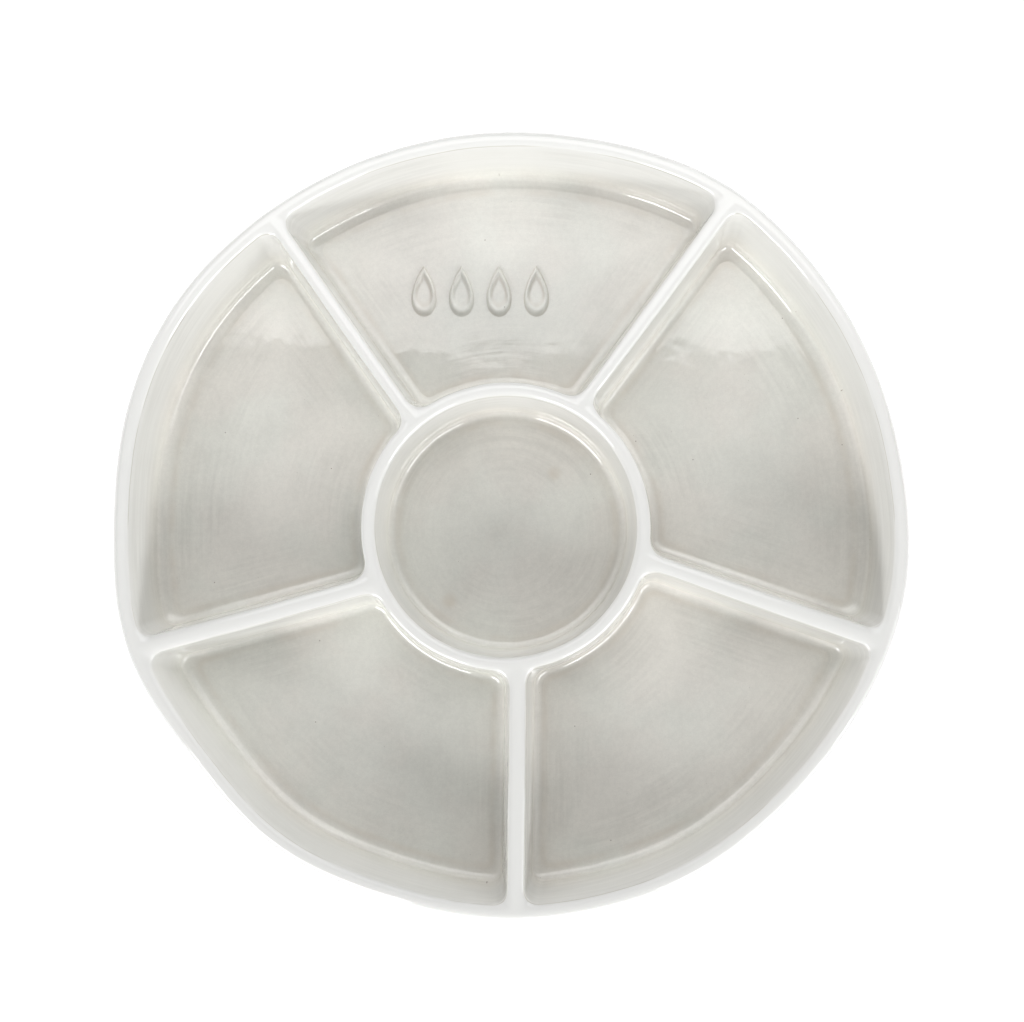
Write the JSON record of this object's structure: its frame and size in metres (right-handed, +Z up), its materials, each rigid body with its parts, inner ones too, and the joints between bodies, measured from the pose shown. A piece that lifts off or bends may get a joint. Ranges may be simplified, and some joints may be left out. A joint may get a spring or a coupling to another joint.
{
  "type": "mixing palette",
  "caption": "Round glazed ceramic mixing palette with wedge wells divided by thin rounded walls around a central cup, on a low foot ring.",
  "frame": {"origin": "on the table, below the centre of the round rim", "axes": "+Z up out of the wells; +Y from the cup towards the middle of the well with the raised drops"},
  "size_m": [0.22, 0.22, 0.03],
  "materials": {
    "glaze": "glossy white glaze over pale stoneware",
    "bare_clay": "unglazed, lightly sanded"
  },
  "bodies": {
    "root": {"foot_ring": "bare_clay", "base_slab": "glaze", "outer_wall": "glaze", "cup_wall": "glaze", "divider_1": "glaze", "divider_2": "glaze", "divider_3": "glaze", "divider_4": "glaze", "divider_5": "glaze", "relief_drops": "glaze"}
  },
  "joints": []
}
